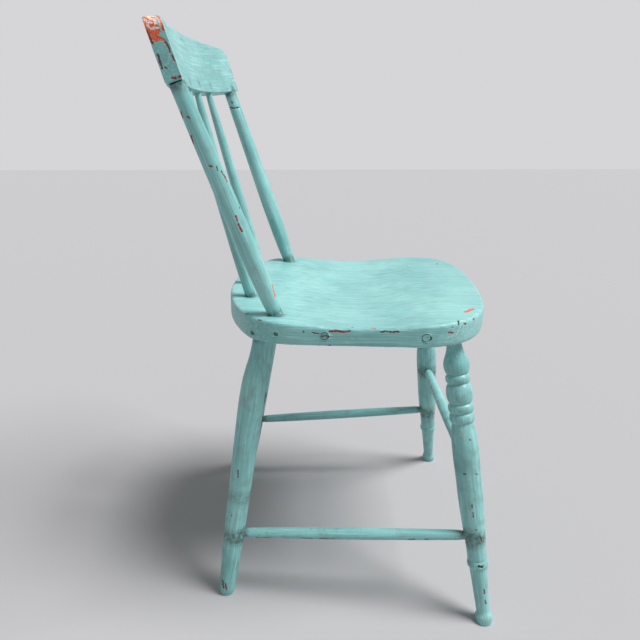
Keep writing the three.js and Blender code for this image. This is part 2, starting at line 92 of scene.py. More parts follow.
def length_of(line):
    return (Vector(line[1]) - Vector(line[0])).length


print("front leg length in mm:", round(length_of(LEG_LINES["front_leg_right"])))

# %% [markdown]
# ## A lathe
#
# A turner holds a square of wood between two points, spins it and cuts its outline. Here a
# disc is extruded upwards one short step at a time, and after each step its rim is scaled to
# the next diameter. A spin of a drawn outline would give the same solid, but the extruded
# disc keeps both ends closed. The outline is given as smooth stretches: a curve is drawn
# through the points of each stretch, and the corner between two stretches stays crisp.

# %% Smooth outlines for turned pieces
def smooth_stretch(points, step):
    """Points of (height, diameter) in mm, with a smooth curve drawn through them."""
    points = np.array(points, float)
    if len(points) < 3:
        count = max(1, int(np.ceil(abs(points[-1] - points[0]).max() / step)))
        return [tuple(points[0] + (points[-1] - points[0]) * i / count) for i in range(count + 1)]
    padded = np.vstack([2 * points[0] - points[1], points, 2 * points[-1] - points[-2]])
    drawn = []
    for a, b, c, d in zip(padded, padded[1:], padded[2:], padded[3:]):
        reach = np.hypot(c[0] - b[0], (c[1] - b[1]) / 2)
        bend = abs(math.atan2((c[1] - a[1]) / 2, c[0] - a[0]) - math.atan2((d[1] - b[1]) / 2, d[0] - b[0]))
        count = max(1, int(np.ceil(max(reach / step, min(bend * 5, reach / 0.5)))))
        for i in range(count):
            t = i / count
            drawn.append(
                tuple(
                    0.5 * (2 * b + (c - a) * t + (2 * a - 5 * b + 4 * c - d) * t**2 + (3 * b - a - 3 * c + d) * t**3)
                )
            )
    drawn.append(tuple(points[-1]))
    return drawn


def outline_of(stretches, step=4.5):
    """All the stretches joined, with no two stations at one place."""
    stations = []
    for stretch in stretches:
        for height, diameter in smooth_stretch(stretch, step):
            if not stations or math.hypot(height - stations[-1][0], diameter - stations[-1][1]) > 0.15:
                stations.append((height, diameter))
    return stations


# %% Turning by extruding and scaling
def deselect_everything():
    if bpy.context.mode != "OBJECT":
        bpy.ops.object.mode_set(mode="OBJECT")
    bpy.ops.object.select_all(action="DESELECT")


def turn(name, stations, sides=48):
    """A turned piece standing on the origin along +Z, from its (height, diameter) stations."""
    deselect_everything()
    height, diameter = stations[0]
    bpy.ops.mesh.primitive_circle_add(
        vertices=sides, radius=diameter / 2 * MM, fill_type="NGON", location=(0, 0, height * MM)
    )
    piece = bpy.context.object
    piece.name = name
    bpy.ops.object.mode_set(mode="EDIT")
    bpy.ops.mesh.select_all(action="SELECT")
    for (low, thin), (high, thick) in zip(stations, stations[1:]):
        rise = (high - low) * MM
        bpy.ops.mesh.extrude_region_move(TRANSFORM_OT_translate={"value": (0, 0, rise)})
        bpy.ops.transform.resize(value=(thick / thin, thick / thin, 1), center_override=(0, 0, high * MM))
    bpy.ops.mesh.select_all(action="SELECT")
    bpy.ops.mesh.normals_make_consistent(inside=False)
    bpy.ops.object.mode_set(mode="OBJECT")
    bpy.ops.object.transform_apply(location=True, rotation=True, scale=True)
    return piece


def another(piece, name):
    """A copy with a mesh of its own."""
    copied = piece.copy()
    copied.data = piece.data.copy()
    copied.name = name
    bpy.context.scene.collection.objects.link(copied)
    return copied


def remember_grain(piece, along="Z", shift=0.0):
    """Keeps where each point was while the piece lay straight, with its grain along the third axis."""
    count = len(piece.data.vertices)
    places = np.empty(count * 3)
    piece.data.vertices.foreach_get("co", places)
    places = places.reshape(-1, 3)
    order = {"X": [1, 2, 0], "Y": [0, 2, 1], "Z": [0, 1, 2]}[along]
    places = places[:, order] + shift
    grain = piece.data.attributes.new("grain", "FLOAT_VECTOR", "POINT")
    grain.data.foreach_set("vector", places.astype(np.float32).ravel())


def set_along(piece, line):
    """Lays a piece made on +Z along a line, and leaves its object unturned at the origin."""
    deselect_everything()
    foot, top = Vector(line[0]) * MM, Vector(line[1]) * MM
    piece.rotation_mode = "QUATERNION"
    piece.rotation_quaternion = (top - foot).to_track_quat("Z", "Y")
    piece.location = foot
    piece.select_set(True)
    bpy.context.view_layer.objects.active = piece
    bpy.ops.object.transform_apply(location=True, rotation=True, scale=True)
    piece.rotation_mode = "XYZ"


def cut_level(piece, height):
    """Cuts away what is below a height, and closes the cut."""
    deselect_everything()
    piece.select_set(True)
    bpy.context.view_layer.objects.active = piece
    bpy.ops.object.mode_set(mode="EDIT")
    bpy.ops.mesh.select_all(action="SELECT")
    bpy.ops.mesh.bisect(plane_co=(0, 0, height * MM), plane_no=(0, 0, 1), clear_inner=True, use_fill=True)
    bpy.ops.mesh.select_all(action="SELECT")
    bpy.ops.mesh.normals_make_consistent(inside=False)
    bpy.ops.object.mode_set(mode="OBJECT")


PIECES = {}

# %% [markdown]
# ## Front legs
#
# The front legs are the showy ones. From the floor up there is a button foot, a thin neck, a
# ring, a long swelled shaft, two rings, a barrel, one more ring and a round bulb under a plain
# neck. Heights are shares of the leg's length, so both legs can use one outline.

# %% Turn the front legs
LEG = 36.5


def front_leg_outline(length):
    def at(share, width):
        return (share * length, width * LEG)

    return outline_of(
        [
            [(-6.0, 0.4 * LEG), (-4.5, 0.5 * LEG), (-1.0, 0.6 * LEG), (4.0, 0.665 * LEG), (8.0, 0.67 * LEG), (12.0, 0.62 * LEG), (15.0, 0.52 * LEG)],
            [(15.0, 0.52 * LEG), (17.5, 0.505 * LEG), (26.0, 0.53 * LEG), at(0.13, 0.6), at(0.198, 0.68)],
            [at(0.198, 0.68), at(0.2, 0.71), at(0.206, 0.79), at(0.215, 0.82), at(0.224, 0.78), at(0.229, 0.72)],
            [at(0.229, 0.72), at(0.232, 0.745), at(0.25, 0.75), at(0.293, 0.785), at(0.36, 0.88), at(0.43, 0.95), at(0.53, 0.972), at(0.602, 1.0), at(0.655, 0.965), at(0.69, 0.87), at(0.703, 0.79)],
            [at(0.703, 0.79), at(0.707, 0.86), at(0.714, 0.925), at(0.722, 0.94), at(0.731, 0.91), at(0.737, 0.81)],
            [at(0.737, 0.81), at(0.741, 0.88), at(0.748, 0.955), at(0.756, 0.965), at(0.764, 0.92), at(0.769, 0.8)],
            [at(0.769, 0.8), at(0.775, 0.88), at(0.787, 0.97), at(0.802, 1.0), at(0.818, 0.965), at(0.83, 0.87), at(0.836, 0.77)],
            [at(0.836, 0.77), at(0.839, 0.84), at(0.845, 0.905), at(0.852, 0.92), at(0.859, 0.9), at(0.864, 0.83), at(0.867, 0.78)],
            [at(0.867, 0.78), at(0.872, 0.86), at(0.885, 0.945), at(0.9, 0.96), at(0.915, 0.89), at(0.93, 0.76), at(0.945, 0.64), at(0.965, 0.56), at(1.0, 0.52), at(1.03, 0.5)],
        ],
    )


front_leg = turn("front_leg_painted_right", front_leg_outline(length_of(LEG_LINES["front_leg_right"])))
PIECES["front_leg_right"] = front_leg
PIECES["front_leg_left"] = another(front_leg, "front_leg_painted_left")
print("front leg faces:", len(front_leg.data.polygons))

# %% [markdown]
# ## Back legs
#
# The back legs are plain: thickest about a quarter of the way down and rounded at the foot.

# %% Turn the back legs
def back_leg_outline(length):
    def at(share, width):
        return (share * length, width * LEG)

    return outline_of(
        [
            [(-6.0, 0.3 * LEG), (-4.0, 0.42 * LEG), (0.0, 0.52 * LEG), (5.0, 0.6 * LEG), (12.0, 0.67 * LEG), at(0.07, 0.7), at(0.12, 0.745), at(0.2, 0.83), at(0.38, 0.88), at(0.58, 0.95), at(0.72, 0.985), at(0.78, 0.97), at(0.84, 0.89), at(0.885, 0.75), at(0.92, 0.61), at(0.96, 0.52), at(1.0, 0.5), at(1.03, 0.5)]
        ],
    )


back_leg = turn("back_leg_painted_right", back_leg_outline(length_of(LEG_LINES["back_leg_right"])))
PIECES["back_leg_right"] = back_leg
PIECES["back_leg_left"] = another(back_leg, "back_leg_painted_left")
print("back leg faces:", len(back_leg.data.polygons))

# %% [markdown]
# ## Stretchers
#
# Four thin rods tie the legs together. Each swells a little in the middle and narrows to a
# peg in the leg.

# %% Turn the stretchers
def stretcher_outline(length):
    def at(share, width):
        return (share * length, width)

    return outline_of(
        [
            [(3.0, 12.5), (15.0, 12.5)],
            [(15.0, 12.5), (17.5, 13.6), (23.0, 14.3), at(0.12, 15.0), at(0.25, 16.2), at(0.5, 17.0), at(0.75, 16.2), at(0.88, 15.0), (length - 23.0, 14.3), (length - 17.5, 13.6), (length - 15.0, 12.5)],
            [(length - 15.0, 12.5), (length - 3.0, 12.5)],
        ],
    )


for name, line in STRETCHER_LINES.items():
    PIECES[name] = turn(name + "_painted", stretcher_outline(length_of(line)), sides=32)
print("stretchers:", len(STRETCHER_LINES))

# %% [markdown]
# ## Back posts and spindles
#
# Two stout posts carry the top rail, and three thin spindles stand between them. A post
# swells in its lower third. A spindle tapers to a thin peg at the top.

# %% Turn the posts and the spindles
def post_outline(length):
    def at(share, width):
        return (share * length, width)

    return outline_of(
        [
            [(-10.0, 19.6), at(0.02, 19.8), at(0.06, 21.6), at(0.12, 23.4), at(0.22, 25.0), at(0.33, 25.4), at(0.45, 24.8), at(0.6, 23.4), at(0.75, 22.1), at(0.87, 20.9), at(0.95, 20.0), at(1.0, 19.4)]
        ],
    )


def spindle_outline(length):
    def at(share, width):
        return (share * length, width)

    return outline_of(
        [
            [(-10.0, 14.8), at(0.02, 15.0), at(0.06, 16.2), at(0.12, 17.0), at(0.25, 16.8), at(0.4, 16.1), at(0.6, 14.6), at(0.75, 13.2), at(0.88, 11.2), at(0.96, 9.6), at(1.0, 9.0)]
        ],
    )


for name, line in POST_LINES.items():
    PIECES[name] = turn(name + "_painted", post_outline(length_of(line)), sides=40)
for name, line in SPINDLE_LINES.items():
    PIECES[name] = turn(name + "_painted", spindle_outline(length_of(line)), sides=32)
print("posts and spindles:", len(POST_LINES) + len(SPINDLE_LINES))

# %% [markdown]
# ## Stand the turned pieces in place
#
# Each piece first remembers where its points were on the lathe, because the grain and the
# brush marks run along the wood and not along the room. Then it is laid along its line, and
# the legs are cut level with the floor.

# %% Place the turned pieces
for order, (name, line) in enumerate({**LEG_LINES, **STRETCHER_LINES, **POST_LINES, **SPINDLE_LINES}.items()):
    remember_grain(PIECES[name], "Z", shift=0.37 * order)
    set_along(PIECES[name], line)
    if name in LEG_LINES:
        cut_level(PIECES[name], 0.0)
print("turned pieces standing:", len(PIECES))

# %% [markdown]
# ## The seat
#
# The seat is one thick plank. Its outline is straight at the sides and round at the corners,
# with a fuller corner at the front left. It is hollowed for sitting, so its side edges dip
# in the middle while the back stays flat for the posts. The outline is drawn as a curve,
# turned into a ring of points, extruded up the edge and scaled inwards ring by ring.

# %% Draw the seat's outline
HALF, FRONT, BACK = 189.0, -216.0, 163.0
SEAT_CURVE = [
    ((0, BACK), (-0.35 * HALF, BACK), (-0.64 * HALF, 0.9 * BACK), (-0.87 * HALF, 0.73 * BACK)),
    ((-0.87 * HALF, 0.73 * BACK), (-0.97 * HALF, 0.63 * BACK), (-HALF, 0.48 * BACK), (-HALF, 0.25 * BACK)),
    ((-HALF, 0.25 * BACK), (-HALF, 0), (-HALF, 0.22 * FRONT), (-HALF, 0.44 * FRONT)),
    ((-HALF, 0.44 * FRONT), (-HALF, 0.67 * FRONT), (-0.88 * HALF, 0.8 * FRONT), (-0.72 * HALF, 0.875 * FRONT)),
    ((-0.72 * HALF, 0.875 * FRONT), (-0.55 * HALF, 0.96 * FRONT), (-0.3 * HALF, 0.985 * FRONT), (0, FRONT)),
    ((0, FRONT), (0.35 * HALF, 1.01 * FRONT), (0.6 * HALF, 0.99 * FRONT), (0.8 * HALF, 0.95 * FRONT)),
    ((0.8 * HALF, 0.95 * FRONT), (0.98 * HALF, 0.9 * FRONT), (1.05 * HALF, 0.8 * FRONT), (1.045 * HALF, 0.66 * FRONT)),
    ((1.045 * HALF, 0.66 * FRONT), (1.04 * HALF, 0.5 * FRONT), (HALF, 0.3 * FRONT), (HALF, 0)),
    ((HALF, 0), (HALF, 0.08 * BACK), (HALF, 0.16 * BACK), (HALF, 0.25 * BACK)),
    ((HALF, 0.25 * BACK), (HALF, 0.48 * BACK), (0.97 * HALF, 0.63 * BACK), (0.87 * HALF, 0.73 * BACK)),
    ((0.87 * HALF, 0.73 * BACK), (0.64 * HALF, 0.9 * BACK), (0.35 * HALF, BACK), (0, BACK)),
]


def even_outline(pieces, count):
    """Evenly spaced points along a closed run of curve pieces."""
    fine = []
    for a, b, c, d in pieces:
        a, b, c, d = (np.array(p, float) for p in (a, b, c, d))
        for t in np.linspace(0, 1, 60, endpoint=False):
            fine.append((1 - t) ** 3 * a + 3 * (1 - t) ** 2 * t * b + 3 * (1 - t) * t * t * c + t**3 * d)
    fine = np.array(fine + [fine[0]])
    run = np.concatenate([[0], np.cumsum(np.linalg.norm(np.diff(fine, axis=0), axis=1))])
    marks = np.linspace(0, run[-1], count, endpoint=False)
    return np.stack([np.interp(marks, run, fine[:, k]) for k in (0, 1)], axis=1)


seat_ring = even_outline(SEAT_CURVE, 160)
print("seat outline in mm:", np.ptp(seat_ring, axis=0).round())


# %% Raise the plank from its outline
def board_from_ring(name, ring, levels, floor_rings, top_rings, centre):
    """A board: rings of one outline, each at a height and set in from the edge by a distance."""
    deselect_everything()
    bpy.ops.mesh.primitive_circle_add(vertices=len(ring), radius=0.2, fill_type="NOTHING")
    board = bpy.context.object
    board.name = name
    for vertex, (x, y) in zip(board.data.vertices, ring):
        vertex.co = (x * MM, y * MM, 0)
    size = np.ptp(ring, axis=0) / 2
    middle = Vector((centre[0], centre[1], 0)) * MM

    def factor(inset):
        return Vector(((size[0] - inset) / size[0], (size[1] - inset) / size[1], 1))

    bpy.ops.object.mode_set(mode="EDIT")
    bpy.ops.mesh.select_mode(type="EDGE")
    bpy.ops.mesh.select_all(action="SELECT")
    steps = [(0.0, inset) for inset in floor_rings] + levels + [(levels[-1][0], inset) for inset in top_rings]
    height, inset = steps[0]
    first = factor(inset)
    bpy.ops.transform.resize(value=first, center_override=middle)
    bpy.ops.transform.translate(value=(0, 0, height * MM))
    for (low, before), (high, after) in zip(steps, steps[1:]):
        bpy.ops.mesh.extrude_region_move(TRANSFORM_OT_translate={"value": (0, 0, (high - low) * MM)})
        old, new = factor(before), factor(after)
        bpy.ops.transform.resize(
            value=(new.x / old.x, new.y / old.y, 1), center_override=(middle.x, middle.y, high * MM)
        )
    bpy.ops.mesh.edge_face_add()
    bpy.ops.mesh.select_all(action="DESELECT")
    bpy.ops.mesh.select_non_manifold()
    bpy.ops.mesh.edge_face_add()
    bpy.ops.mesh.select_all(action="SELECT")
    bpy.ops.mesh.normals_make_consistent(inside=False)
    bpy.ops.object.mode_set(mode="OBJECT")
    return board


EDGE_LEVELS = [
    (0.0, 3.6), (0.9, 1.2), (3.2, 0.1), (7.0, 0.0), (12.0, 0.0), (17.0, 0.0),
    (22.0, 0.0), (26.0, 0.05), (28.6, 0.25), (30.4, 1.0), (31.5, 2.3), (32.0, 4.2),
]
seat = board_from_ring(
    "seat_painted",
    seat_ring,
    EDGE_LEVELS,
    floor_rings=[170, 130, 90, 50, 20, 8],
    top_rings=[8, 14, 20, 27, 34, 42, 50, 60, 70, 80, 90, 100, 112, 124, 136, 148, 160, 170, 180],
    centre=(0, -22),
)
deselect_everything()
seat.select_set(True)
bpy.context.view_layer.objects.active = seat
smooth = seat.modifiers.new("even surface", "SUBSURF")
smooth.levels = smooth.render_levels = 1
bpy.ops.object.modifier_apply(modifier=smooth.name)
print("seat faces:", len(seat.data.polygons))

# %% [markdown]
# The hollow is worked into the top with a shallow curve, deepest a little in front of the
# middle. Where it runs out over the sides, the whole edge goes down with it.

# %% Hollow the seat
DISH_DEPTH, DISH_ACROSS, DISH_ALONG, DISH_MIDDLE = 12.0, 420.0, 140.0, -25.0
for vertex in seat.data.vertices:
    x, y, z = vertex.co / MM
    out = math.hypot(x / DISH_ACROSS, (y - DISH_MIDDLE) / DISH_ALONG)
    if out < 1:
        depth = DISH_DEPTH * (1 + math.cos(math.pi * out)) / 2
        share = min(1.0, max(0.0, (z - 8.0) / 20.0))
        vertex.co.z -= depth * share * share * (3 - 2 * share) * MM
remember_grain(seat, "Y", shift=5.1)
seat.rotation_euler = (0, 0, RACK)
seat.location = (CHAIR_MIDDLE + Vector((0, 0, SEAT_TOP - SEAT_THICKNESS))) * MM
bpy.ops.object.transform_apply(location=True, rotation=True, scale=True)
PIECES["seat"] = seat
print("seat top in mm:", round(max(v.co.z for v in seat.data.vertices) / MM, 1))

# %% [markdown]
# ## The top rail
#
# The top rail is a board with a straight lower edge, upright ends, round upper corners and a
# slightly arched top. It is bent so that its ends come forward, and it leans back by 18
# degrees. The face starts as a grid, its columns are stretched to the outline, it is
# extruded to its thickness, and then the columns are moved forward along the bend.

# %% Shape the top rail
RAIL_HALF, RAIL_THICKNESS, RAIL_BOW = 222.0, 20.0, 23.0
RAIL_LEAN = math.radians(18)
RAIL_FOOT = Vector((0, 209.5, 728.0))
RAIL_RADIUS = (RAIL_HALF**2 + RAIL_BOW**2) / (2 * RAIL_BOW)
CORNER = ((222.0, 58.0), (222.0, 69.0), (207.0, 73.5), (178.0, 75.0))


def rail_height(x):
    """Height of the rail's top edge above its lower edge, in mm."""
    x = abs(x)
    if x <= CORNER[3][0]:
        return 75.0 + 5.0 * (1 - (x / CORNER[3][0]) ** 2)
    ts = np.linspace(0, 1, 200)
    a, b, c, d = (np.array(p) for p in CORNER)
    curve = (
        np.outer((1 - ts) ** 3, a) + np.outer(3 * (1 - ts) ** 2 * ts, b)
        + np.outer(3 * (1 - ts) * ts**2, c) + np.outer(ts**3, d)
    )
    return float(np.interp(-x, -curve[:, 0], curve[:, 1]))


def rail_bow(x):
    return RAIL_RADIUS - math.sqrt(RAIL_RADIUS**2 - x**2)


half_columns = [0, 15, 30, 45, 60, 75, 90, 105, 120, 135, 150, 164, 177, 188, 197, 204, 210, 214.5, 218, 220.3, 221.5, 222]
columns = sorted({-x for x in half_columns} | set(half_columns))
rows = [0, 0.04, 0.12, 0.25, 0.4, 0.55, 0.7, 0.83, 0.92, 0.97, 1.0]
deselect_everything()
bpy.ops.mesh.primitive_grid_add(x_subdivisions=len(columns) - 1, y_subdivisions=len(rows) - 1, size=2)
rail = bpy.context.object
rail.name = "top_rail_painted"
for vertex in rail.data.vertices:
    column = round((vertex.co.x + 1) / 2 * (len(columns) - 1))
    row = round((vertex.co.y + 1) / 2 * (len(rows) - 1))
    x = columns[column]
    vertex.co = Vector((x, RAIL_THICKNESS / 2, rows[row] * rail_height(x))) * MM
bpy.ops.object.mode_set(mode="EDIT")
bpy.ops.mesh.select_all(action="SELECT")
for part in (0.04, 0.14, 0.2, 0.24, 0.2, 0.14, 0.04):
    bpy.ops.mesh.extrude_region_move(TRANSFORM_OT_translate={"value": (0, -part * RAIL_THICKNESS * MM, 0)})
bpy.ops.mesh.select_all(action="SELECT")
bpy.ops.mesh.normals_make_consistent(inside=False)
bpy.ops.object.mode_set(mode="OBJECT")
round_over = rail.modifiers.new("worn edges", "SUBSURF")
round_over.levels = round_over.render_levels = 2
bpy.ops.object.modifier_apply(modifier=round_over.name)
remember_grain(rail, "X", shift=7.7)
for vertex in rail.data.vertices:
    x, y, z = vertex.co / MM
    near_end = min(1.0, max(0.0, (-x - 186.0) / 28.0))
    near_top = min(1.0, max(0.0, (z - 40.0) / 22.0))
    back = min(1.0, max(0.0, 0.5 + y / RAIL_THICKNESS))
    worn = -5.5 * (1 - back) ** 2 + 5.0 * back - 2.0 * back**4
    vertex.co.z += worn * near_end * near_end * (3 - 2 * near_end) * near_top * MM
    vertex.co.y -= rail_bow(x) * MM
rail.data.transform(
    Matrix.Translation(CHAIR_MIDDLE * MM)
    @ Matrix.Rotation(RACK, 4, "Z")
    @ Matrix.Translation(RAIL_FOOT * MM)
    @ Matrix.Rotation(-RAIL_LEAN, 4, "X")
)
PIECES["crest_rail"] = rail
print("top rail faces:", len(rail.data.polygons))

# %% [markdown]
# ## Dowels and nails
#
# Two dowels are let into the seat's right edge, and two nails are sunk beside them. Only
# their outer ends show, each a little below the surface and painted over.

# %% Turn the dowels and the nails
DOWEL_LINES = {
    "edge_dowel_front": ((-195.8, -115.3, 427.5), (-153.9, -116.5, 427.5)),
    "edge_dowel_rear": ((-192.2, 13.6, 427.5), (-150.3, 12.5, 427.5)),
}
NAIL_LINES = {
    "nail_post": ((-186.0, 76.5, 428.0), (-160.2, 73.1, 428.0)),
    "nail_back_leg": ((-167.6, 107.5, 423.0), (-143.9, 96.8, 423.0)),
}
for name, line in DOWEL_LINES.items():
    long = length_of(line)
    stretches = [[(0.35, 1.0), (0.2, 4.0), (0.0, 8.0), (0.1, 9.4), (0.7, 10.3)], [(0.7, 10.3), (long, 10.3)]]
    PIECES[name] = turn(name + "_painted", outline_of(stretches, step=1.2), sides=32)
for name, line in NAIL_LINES.items():
    stretches = [[(0.25, 0.6), (0.1, 2.0), (0.0, 3.2), (0.2, 4.2), (0.8, 4.5)], [(0.8, 4.5), (2.0, 2.6)], [(2.0, 2.6), (24.0, 2.6), (26.0, 0.6)]]
    PIECES[name] = turn(name + "_painted", outline_of(stretches, step=0.8), sides=24)
for order, (name, line) in enumerate({**DOWEL_LINES, **NAIL_LINES}.items()):
    remember_grain(PIECES[name], "Z", shift=9.3 + 0.21 * order)
    set_along(PIECES[name], line)
print("dowels and nails:", len(DOWEL_LINES) + len(NAIL_LINES))

# %% [markdown]
# ## Where the paint has gone
#
# Each chip is written as a short line of points on the chair, in millimetres, with a width
# and the coat that shows in it. Two kinds of mark are no coat: the hole marks are a painted
# shade for the inside of holes and cracks, and the pale marks are a painted highlight along
# raised ridges of paint. A chip's edge is torn, so the distance to that line is shaken with
# a little noise. The surface is first cut finer near the chips, and inside a chip it is sunk
# by the thickness of the old paint, so that the broken film has a real edge; under a pale
# mark it is raised instead. Each point keeps two attributes for the paint material: how deep
# inside a chip it lies, and the colour of the coat below, or of the painted shade or highlight.

# %% Chips seen on the chair
# Of these marks, the hole is a painted shade for the inside of holes and cracks, and the pale is a painted highlight on
# raised ridges; the rest are coats of paint.
FLAME, OXIDE, BROWN, CREAM, HOLE_SHADE, PALE_HIGHLIGHT = "flame", "oxide", "brown", "cream", "hole", "pale"
CHIPS = {
    "crest_rail": [
        (CREAM, 6.4, [(-206, 213, 803), (-213, 210, 801), (-219, 206, 797)]),
        (CREAM, 5.4, [(-221, 212, 794), (-221, 205, 792), (-221, 202, 788)]),
        (FLAME, 1.9, [(-200, 205, 802), (-207, 201, 800), (-214, 197, 797), (-220, 195, 793), (-221, 193, 787)]),
        (FLAME, 1.3, [(-208, 218, 801), (-215, 215, 801), (-220, 210, 799)]),
        (FLAME, 1.0, [(-221, 208, 797), (-221, 204, 795)]),
        (FLAME, 2.0, [(-221, 215, 794), (-221, 213, 789), (-221, 210, 786)]),
        (FLAME, 3.0, [(-221, 208, 784), (-221, 203, 783), (-221, 200, 784)]),
        (FLAME, 3.4, [(-221, 204, 780), (-221, 201, 778)]),
        (FLAME, 1.6, [(-221, 198, 778), (-221, 194, 777)]),
        (OXIDE, 1.0, [(-221, 192, 775), (-221, 189, 770), (-221, 187, 764)]),
        (OXIDE, 0.8, [(-221, 185, 761), (-222, 183, 755)]),
        (OXIDE, 1.1, [(-221, 211, 785), (-221, 208, 778), (-221, 206, 773)]),
        (BROWN, 1.1, [(-221, 201, 762), (-221, 199, 755), (-221, 197, 748)]),
        (BROWN, 0.9, [(-221, 194, 749), (-221, 192, 748)]),
        (OXIDE, 1.4, [(-221, 186, 738), (-222, 183, 738)]),
        (OXIDE, 1.2, [(-222, 179, 739), (-222, 176, 740)]),
    ],
    "back_post_right": [
        (OXIDE, 1.4, [(-201, 183, 702), (-199, 182, 696)]),
        (OXIDE, 1.1, [(-203, 175, 697), (-203, 173, 696)]),
        (OXIDE, 2.0, [(-197, 173, 675), (-194, 172, 668)]),
        (OXIDE, 1.3, [(-196, 153, 642), (-196, 151, 641)]),
        (BROWN, 0.9, [(-194, 145, 641), (-194, 144, 636)]),
        (OXIDE, 1.0, [(-191, 140, 635), (-188, 136, 628), (-187, 134, 622)]),
        (BROWN, 0.9, [(-181, 121, 591), (-181, 120, 589)]),
        (OXIDE, 1.1, [(-187, 125, 581), (-187, 123, 575)]),
        (OXIDE, 1.2, [(-187, 122, 571), (-186, 120, 566), (-185, 118, 562)]),
        (BROWN, 0.8, [(-185, 129, 565)]),
        (FLAME, 1.6, [(-164, 82, 487), (-165, 81, 481), (-165, 78, 472)]),
    ],
    "seat": [
        (OXIDE, 1.4, [(-193, 7, 434), (-194, -1, 435), (-194, -10, 434), (-194, -18, 435)]),
        (OXIDE, 1.3, [(-185, -22, 438)]),
        (FLAME, 1.3, [(-189, -45, 438), (-191, -50, 438)]),
        (BROWN, 1.1, [(-195, -58, 435), (-195, -64, 436), (-196, -71, 435), (-196, -80, 436)]),
        (BROWN, 1.2, [(-192, 41, 433)]),
        (BROWN, 0.9, [(-193, 29, 432), (-193, 22, 431)]),
        (HOLE_SHADE, 1.4, [(-192, 7, 414)]),
        (OXIDE, 1.2, [(-189, -144, 433), (-187, -150, 432)]),
        (OXIDE, 1.0, [(-187, -149, 439)]),
        (FLAME, 1.2, [(-177, -166, 442)]),
        (FLAME, 2.5, [(-140, -176, 445), (-131, -184, 445), (-127, -189, 445)]),
        (OXIDE, 0.9, [(-12, -179, 445)]),
        (OXIDE, 0.9, [(135, -192, 445), (130, -192, 445)]),
        (BROWN, 1.1, [(-160, 118, 420)]),
        (BROWN, 1.1, [(-154, 119, 444), (-154, 115, 445)]),
        (OXIDE, 1.0, [(-193, 19, 430), (-192, 16, 430)]),
        (PALE_HIGHLIGHT, 1.1, [(-193, 19, 429), (-193, 12, 430), (-193, 5, 429)]),
        (OXIDE, 0.8, [(-193, 19, 427), (-193, 13, 428), (-193, 8, 427)]),
        (PALE_HIGHLIGHT, 1.0, [(-193, 16, 424), (-193, 11, 423), (-193, 6, 425)]),
        (HOLE_SHADE, 1.3, [(-196, -112, 430), (-196, -116, 431), (-194, -121, 428), (-195, -121, 426)]),
        (PALE_HIGHLIGHT, 1.3, [(-196, -114, 424), (-196, -118, 422)]),
        (PALE_HIGHLIGHT, 1.5, [(-174, -163, 445), (-179, -161, 442), (-182, -158, 436), (-185, -154, 427)]),
        (HOLE_SHADE, 0.9, [(-176, -158, 445), (-181, -157, 441)]),
        (BROWN, 1.3, [(-178, -167, 441), (-176, -169, 440)]),
        (BROWN, 1.0, [(-164, -182, 443), (-160, -184, 443)]),
        (BROWN, 0.9, [(-178, 101, 445), (-181, 97, 445)]),
    ],
    "edge_dowel_rear": [(OXIDE, 0.9, [(-192, 17, 427), (-192, 12, 428), (-192, 9, 427)])],
    "front_leg_right": [
        (BROWN, 1.2, [(-181, -188, 274)]),
        (BROWN, 1.0, [(-188, -181, 225), (-189, -184, 226)]),
        (BROWN, 0.8, [(-189, -197, 226), (-187, -201, 225)]),
        (BROWN, 0.8, [(-193, -189, 209)]),
        (OXIDE, 0.8, [(-198, -194, 183), (-199, -195, 178)]),
        (OXIDE, 0.8, [(-200, -196, 171), (-201, -197, 164)]),
        (BROWN, 1.4, [(-205, -208, 136), (-205, -211, 129)]),
        (HOLE_SHADE, 1.7, [(-214, -208, 92), (-214, -213, 92)]),
        (OXIDE, 1.1, [(-217, -218, 55), (-217, -219, 49)]),
        (OXIDE, 1.1, [(-219, -221, 38), (-219, -222, 33)]),
        (BROWN, 1.0, [(-204, -202, 146)]),
    ],
    "back_leg_right": [
        (BROWN, 1.0, [(-178, 133, 217), (-179, 133, 206)]),
        (BROWN, 1.2, [(-181, 144, 142)]),
        (BROWN, 0.8, [(-185, 149, 83)]),
        (BROWN, 1.4, [(-184, 161, 28), (-186, 159, 16)]),
        (OXIDE, 1.1, [(-186, 156, 25), (-187, 155, 13)]),
    ],
    "stretcher_right": [
        (BROWN, 1.2, [(-178, 109, 103), (-178, 100, 102), (-179, 88, 103)]),
        (BROWN, 1.0, [(-183, 41, 108), (-184, 26, 108)]),
        (BROWN, 1.2, [(-185, 15, 109), (-186, -6, 110)]),
        (BROWN, 1.0, [(-193, -112, 119), (-194, -121, 120)]),
        (BROWN, 1.1, [(-195, -135, 121), (-195, -139, 121)]),
    ],
    "back_post_left": [
        (BROWN, 1.6, [(187, 171, 718)]),
        (HOLE_SHADE, 0.9, [(189, 174, 710), (185, 166, 708), (188, 158, 710)]),
        (BROWN, 0.9, [(174, 145, 630)]),
        (BROWN, 0.9, [(152, 101, 517)]),
    ],
    "front_leg_left": [(BROWN, 1.2, [(196, -209, 54)])],
}
print("chips drawn by hand:", sum(len(v) for v in CHIPS.values()))


# %% Colours of the coats
def tone(red, green, blue):
    """A paint colour given as it looks, 0 to 255, turned into the light values Blender uses."""
    return tuple(((c / 255 + 0.055) / 1.055) ** 2.4 if c > 10 else c / 255 / 12.92 for c in (red, green, blue)) + (1.0,)


